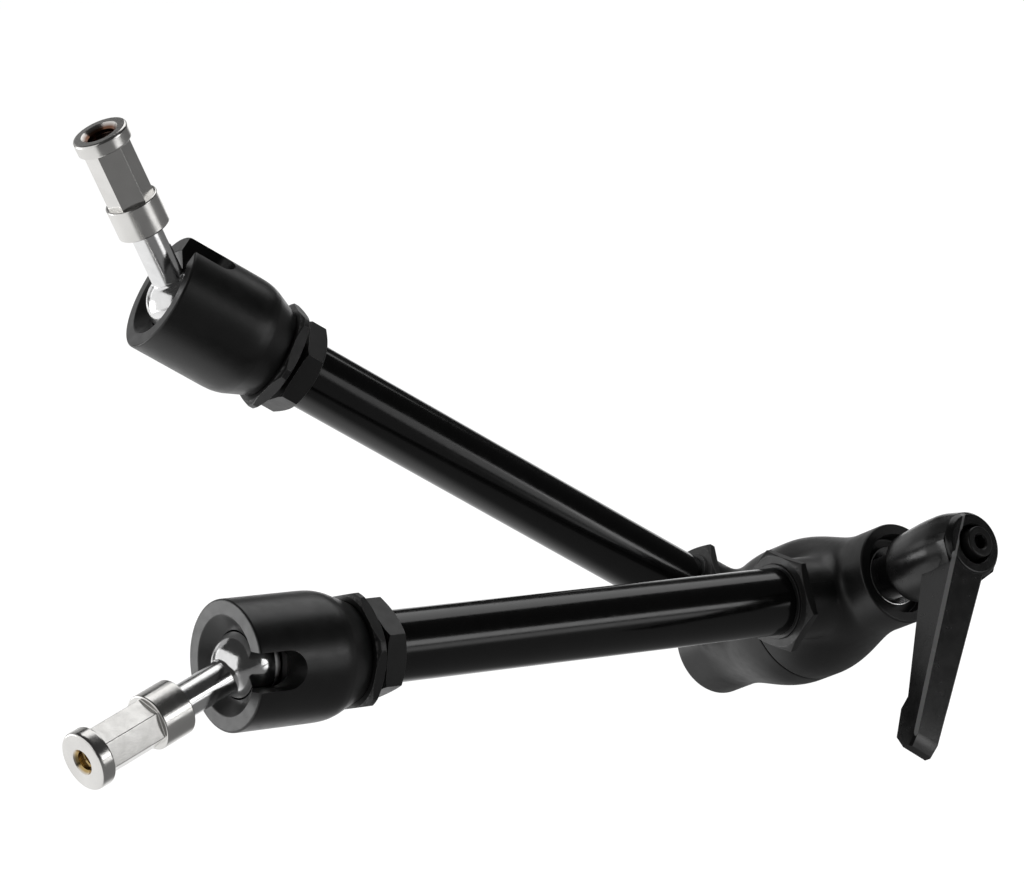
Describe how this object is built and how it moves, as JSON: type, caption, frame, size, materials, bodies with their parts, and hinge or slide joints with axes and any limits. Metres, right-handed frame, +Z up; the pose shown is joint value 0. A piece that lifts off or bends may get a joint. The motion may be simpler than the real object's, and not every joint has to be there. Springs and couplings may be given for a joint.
{
  "type": "articulating friction arm",
  "caption": "Articulated support arm: tubes joined by an elbow with a ratchet clamping lever, and a ball stud with a hexagonal spigot at each end.",
  "frame": {"origin": "centre of the round head of the lower stud, on the stud's axis", "axes": "-X out along the lower stud, +Z up, Y across; the arm is held by the lower stud in the pose of the picture"},
  "size_m": [0.2767, 0.1741, 0.2385],
  "materials": {
    "stud_nickel": "satin nickel plating with turning and milling marks",
    "ball_chrome": "polished plating",
    "seat_steel": "turned steel",
    "cup_black": "satin black anodised",
    "nut_black": "satin black anodised, bright worn edges",
    "nose_black": "satin black anodised",
    "tube_gloss_black": "gloss black lacquer",
    "guide_nylon": "natural nylon",
    "rod_steel": "ground steel",
    "casting_black": "satin black coated casting",
    "ring_fibre": "pressed fibre",
    "spring_steel": "drawn wire",
    "washer_chrome": "bright plated",
    "plug_black": "moulded black",
    "insert_black": "black oxide",
    "lever_black": "satin black powder coat",
    "screw_black": "black oxide"
  },
  "bodies": {
    "lower_stud": {"lower_spigot": "stud_nickel"},
    "lower_ball": {"lower_ball_stud": "ball_chrome"},
    "lower_seat": {"lower_ball_seat": "seat_steel"},
    "lower_arm": {"lower_cup": "cup_black", "lower_lock_nut": "nut_black", "lower_tube_nose": "nose_black", "lower_tube": "tube_gloss_black", "lower_rod_guide": "guide_nylon", "front_knuckle": "casting_black", "friction_ring": "ring_fibre", "wedge_spring": "spring_steel"},
    "lower_rod": {"lower_push_rod": "rod_steel"},
    "clamp_wedge": {"front_wedge": "rod_steel", "thrust_washer": "washer_chrome"},
    "clamp_screw": {"lever_insert": "insert_black", "lever_screw": "screw_black", "lever_spring": "spring_steel"},
    "lever": {"lever_handle": "lever_black"},
    "upper_arm": {"upper_cup": "cup_black", "upper_lock_nut": "nut_black", "upper_tube_nose": "nose_black", "upper_tube": "tube_gloss_black", "upper_rod_guide": "guide_nylon", "rear_knuckle": "casting_black", "rear_plug": "plug_black"},
    "upper_rod": {"upper_push_rod": "rod_steel"},
    "clamp_bolt": {"pivot_bolt": "rod_steel", "rear_wedge": "rod_steel"},
    "upper_seat": {"upper_ball_seat": "seat_steel"},
    "upper_ball": {"upper_ball_stud": "ball_chrome"},
    "upper_stud": {"upper_spigot": "stud_nickel"}
  },
  "joints": [
    {"name": "lower_spin", "type": "hinge", "parent": "lower_stud", "child": "lower_ball", "pos_m": [0.0544, 0, 0], "axis": [1, 0, 0], "continuous": true},
    {"name": "lower_tilt", "type": "hinge", "parent": "lower_ball", "child": "lower_seat", "pos_m": [0.0544, 0, 0], "axis": [0, 0.9668, -0.2554], "range_deg": [-54.5, 13.5]},
    {"name": "lower_swivel", "type": "hinge", "parent": "lower_seat", "child": "lower_arm", "pos_m": [0.0544, 0, 0], "axis": [-0.9367, 0.0895, 0.3386], "continuous": true},
    {"name": "elbow_pivot", "type": "hinge", "parent": "lower_arm", "child": "upper_arm", "pos_m": [0.25391, -0.01905, -0.07212], "axis": [0.0189, -0.9525, 0.304], "continuous": true},
    {"name": "upper_swivel", "type": "hinge", "parent": "upper_arm", "child": "upper_seat", "pos_m": [0.12276, 0.07211, 0.07562], "axis": [-0.6118, 0.2295, 0.757], "range_deg": [-360, 0]},
    {"name": "upper_tilt", "type": "hinge", "parent": "upper_seat", "child": "upper_ball", "pos_m": [0.12276, 0.07211, 0.07562], "axis": [0.575, 0.7862, 0.2264], "range_deg": [-67.4, 56.6]},
    {"name": "upper_spin", "type": "hinge", "parent": "upper_ball", "child": "upper_stud", "pos_m": [0.12276, 0.07211, 0.07562], "axis": [-0.2117, -0.1243, 0.9694], "continuous": true},
    {"name": "wedge_slide", "type": "slide", "parent": "lower_arm", "child": "clamp_wedge", "axis": [0.0189, -0.9525, 0.304], "range_m": [0, 0.000375]},
    {"name": "clamp_turn", "type": "hinge", "parent": "clamp_wedge", "child": "clamp_screw", "pos_m": [0.25391, -0.01905, -0.07212], "axis": [0.0189, -0.9525, 0.304], "range_deg": [0, 180]},
    {"name": "lever_lift", "type": "slide", "parent": "clamp_screw", "child": "lever", "axis": [0.0189, -0.9525, 0.304], "range_m": [0, 0.0045], "stiffness_N_per_m": 1500, "springref_m": -0.002, "deforming": ["lever_spring"]},
    {"name": "bolt_slide", "type": "slide", "parent": "upper_arm", "child": "clamp_bolt", "axis": [0.0189, -0.9525, 0.304], "range_m": [-0.000375, 0]},
    {"name": "lower_rod_slide", "type": "slide", "parent": "lower_arm", "child": "lower_rod", "axis": [0.9367, -0.0895, -0.3386], "range_m": [0, 0.000375]},
    {"name": "upper_rod_slide", "type": "slide", "parent": "upper_arm", "child": "upper_rod", "axis": [0.6118, -0.2295, -0.757], "range_m": [0, 0.000375]}
  ],
  "couplings": [
    {"joint": "wedge_slide", "follows": "clamp_turn", "m_per_rad": 0.00011937},
    {"joint": "bolt_slide", "follows": "clamp_turn", "m_per_rad": -0.00011937},
    {"joint": "lower_rod_slide", "follows": "clamp_turn", "m_per_rad": 0.00011937},
    {"joint": "upper_rod_slide", "follows": "clamp_turn", "m_per_rad": 0.00011937}
  ]
}
